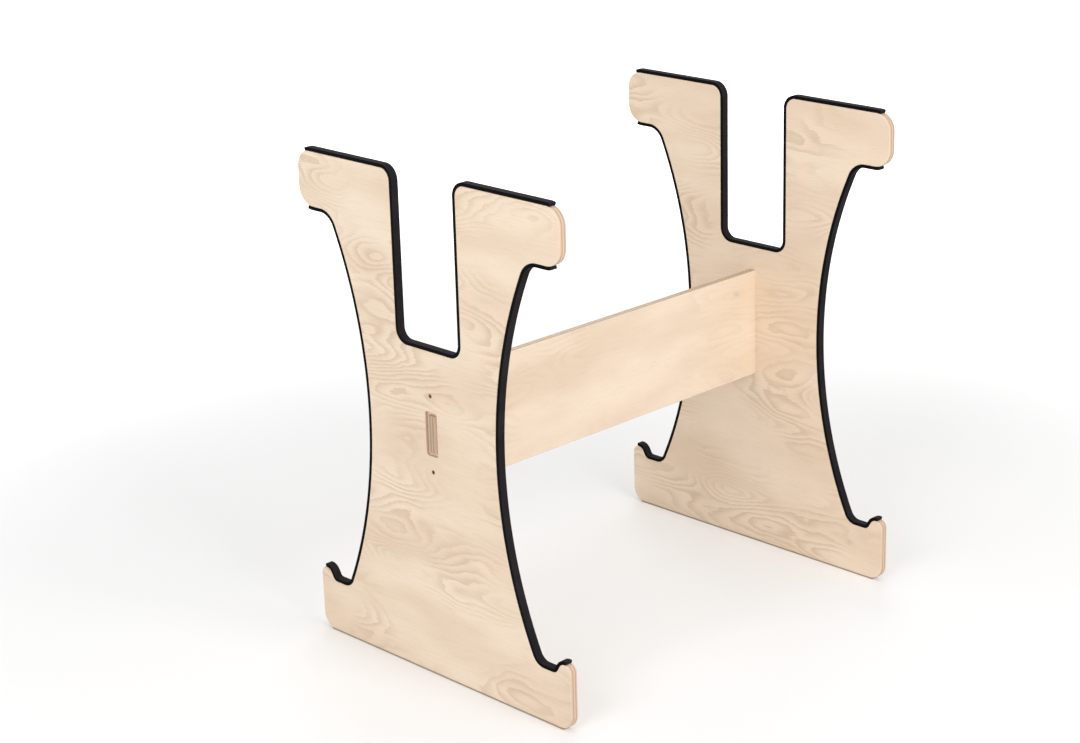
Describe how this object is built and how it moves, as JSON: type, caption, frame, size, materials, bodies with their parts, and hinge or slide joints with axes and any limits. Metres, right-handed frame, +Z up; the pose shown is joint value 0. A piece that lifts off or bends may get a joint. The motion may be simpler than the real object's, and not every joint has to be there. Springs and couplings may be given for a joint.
{
  "type": "surfboard storage rack",
  "caption": "Free-standing plywood rack: waisted uprights with horns, lipped feet and a slot, lined with foam and joined by a bolted beam, to store surfboards on their sides.",
  "frame": {"origin": "on the floor, under the middle of the rack", "axes": "+X along the beam from the left upright to the right one, -Y to the front, +Z up"},
  "size_m": [0.815, 0.614, 0.872],
  "materials": {
    "birch_plywood": "satin",
    "foam": "matte",
    "foot_rubber": "matte",
    "black_steel": "satin",
    "plated_steel": "satin"
  },
  "bodies": {
    "root": {"beam": "birch_plywood", "left_upright": "birch_plywood", "left_slot_lining": "foam", "left_foot_strip": "foot_rubber", "left_bolts": "black_steel", "left_barrel_nuts": "plated_steel", "left_rear_side_lining": "foam", "left_rear_horn_strip": "foam", "left_front_side_lining": "foam", "left_front_horn_strip": "foam", "right_upright": "birch_plywood", "right_slot_lining": "foam", "right_foot_strip": "foot_rubber", "right_bolts": "black_steel", "right_barrel_nuts": "plated_steel", "right_rear_side_lining": "foam", "right_rear_horn_strip": "foam", "right_front_side_lining": "foam", "right_front_horn_strip": "foam"}
  },
  "joints": []
}
